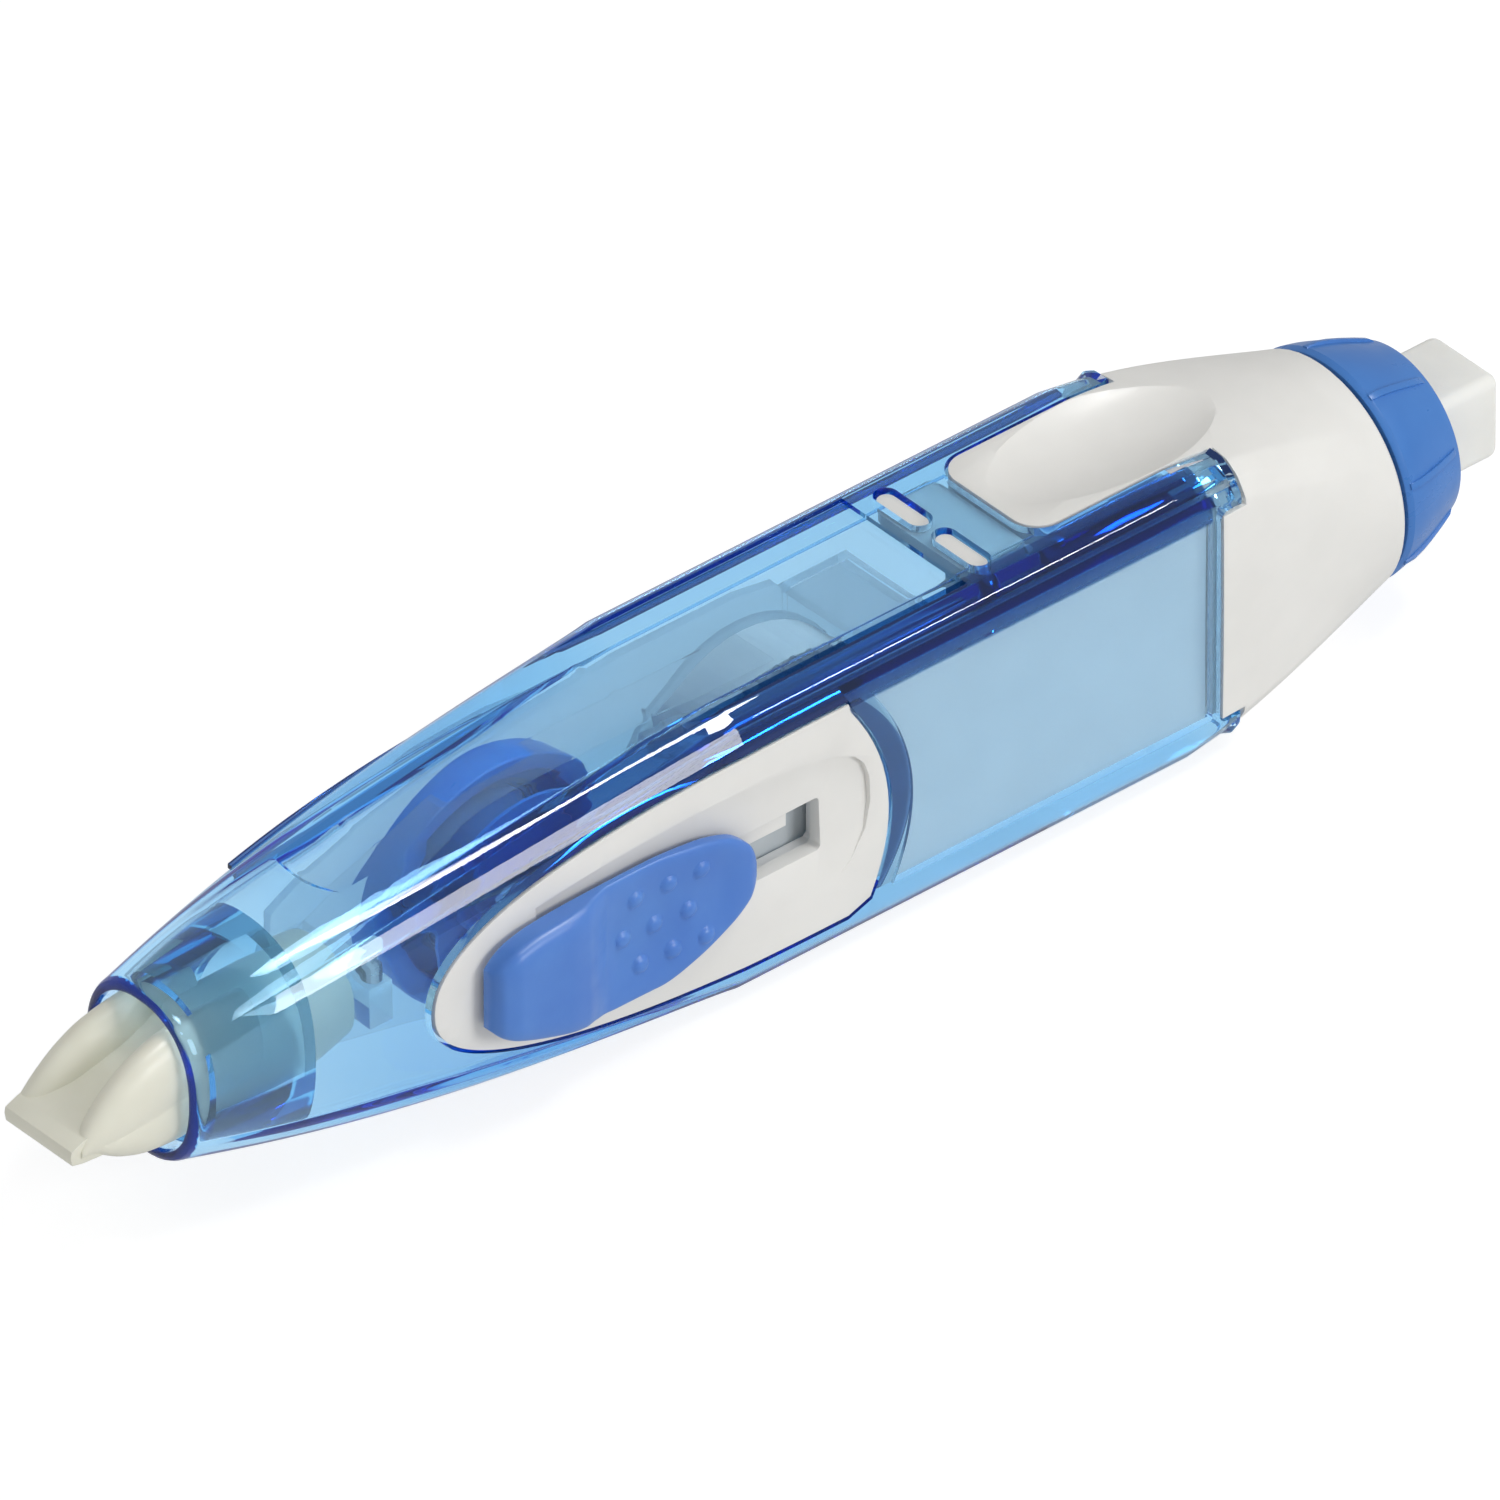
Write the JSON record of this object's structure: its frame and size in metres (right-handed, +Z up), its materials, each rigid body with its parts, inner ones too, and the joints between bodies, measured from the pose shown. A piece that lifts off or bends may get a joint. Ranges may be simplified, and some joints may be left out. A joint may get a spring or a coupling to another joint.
{
  "type": "correction tape roller",
  "caption": "Pen-shaped correction tape roller: tinted clear cover, side slide that brings out the tape head, white tail shell and a twist-out eraser.",
  "frame": {"origin": "on the flat underside of the cover, under the middle of the body, where the roller lies on a table", "axes": "+X along the body from the tape head to the eraser, -Y towards the slide button, +Z up through the thumb dish"},
  "size_m": [0.1381, 0.0213, 0.0256],
  "materials": {
    "clear_blue": "clear tinted gloss",
    "clear_plastic": "clear gloss",
    "white_shell": "semi-gloss",
    "light_grey": "matte",
    "blue_plastic": "satin",
    "button_blue": "satin, slightly waxy",
    "head_white": "satin",
    "tape_white": "matte coating",
    "backing_film": "thin satin film",
    "spring_steel": "bright",
    "eraser_white": "matte"
  },
  "bodies": {
    "housing": {"outer_cover": "clear_blue", "nose_collar": "clear_blue", "slide_panel": "white_shell", "side_chassis": "white_shell", "rear_housing": "white_shell", "knob_bearing_ring": "white_shell", "eraser_guide": "light_grey"},
    "latch": {"latch_tongue": "white_shell"},
    "cartridge": {"slide_button": "button_blue", "button_carriage": "light_grey", "detent_spring": "spring_steel", "cartridge_frame": "clear_plastic", "cartridge_lid": "clear_plastic", "backstop_pawl": "clear_plastic", "applicator_head": "head_white", "head_locking_pin": "spring_steel", "fresh_tape_strand": "tape_white", "spent_tape_strand": "backing_film"},
    "supply_reel": {"supply_gear": "clear_plastic", "correction_tape_roll": "tape_white", "supply_flange": "clear_plastic", "slip_clutch_disc": "light_grey", "clutch_wave_washer": "spring_steel"},
    "takeup_reel": {"takeup_reel": "blue_plastic", "spent_tape_roll": "backing_film"},
    "idler": {"idler_gear": "clear_plastic"},
    "knob": {"twist_knob": "blue_plastic", "spiral_sleeve": "light_grey"},
    "eraser": {"eraser_carrier": "light_grey", "eraser_block": "eraser_white"}
  },
  "joints": [
    {"name": "head_slide", "type": "slide", "parent": "housing", "child": "cartridge", "axis": [1, 0, 0], "range_m": [0, 0.0105]},
    {"name": "latch_press", "type": "hinge", "parent": "housing", "child": "latch", "pos_m": [0.0162, 0, 0.02355], "axis": [0, -1, 0], "range_deg": [0, 9.5], "stiffness_Nm_per_rad": 0.15},
    {"name": "supply_spin", "type": "hinge", "parent": "cartridge", "child": "supply_reel", "pos_m": [-0.005, 0, 0.0128], "axis": [0, 1, 0], "continuous": true},
    {"name": "takeup_spin", "type": "hinge", "parent": "cartridge", "child": "takeup_reel", "pos_m": [-0.0305, 0, 0.0128], "axis": [0, 1, 0], "continuous": true},
    {"name": "idler_spin", "type": "hinge", "parent": "cartridge", "child": "idler", "pos_m": [-0.01925, 0, 0.0128], "axis": [0, 1, 0], "continuous": true},
    {"name": "knob_twist", "type": "hinge", "parent": "housing", "child": "knob", "pos_m": [0.0499, 0, 0.0128], "axis": [1, 0, 0], "range_deg": [-270, 720]},
    {"name": "eraser_feed", "type": "slide", "parent": "housing", "child": "eraser", "axis": [1, 0, 0], "range_m": [-0.0061, 0.0161]}
  ],
  "couplings": [
    {"joint": "idler_spin", "follows": "supply_spin", "ratio": -2},
    {"joint": "takeup_spin", "follows": "supply_spin", "ratio": 1.4615},
    {"joint": "eraser_feed", "follows": "knob_twist", "m_per_rad": 0.0012732}
  ]
}
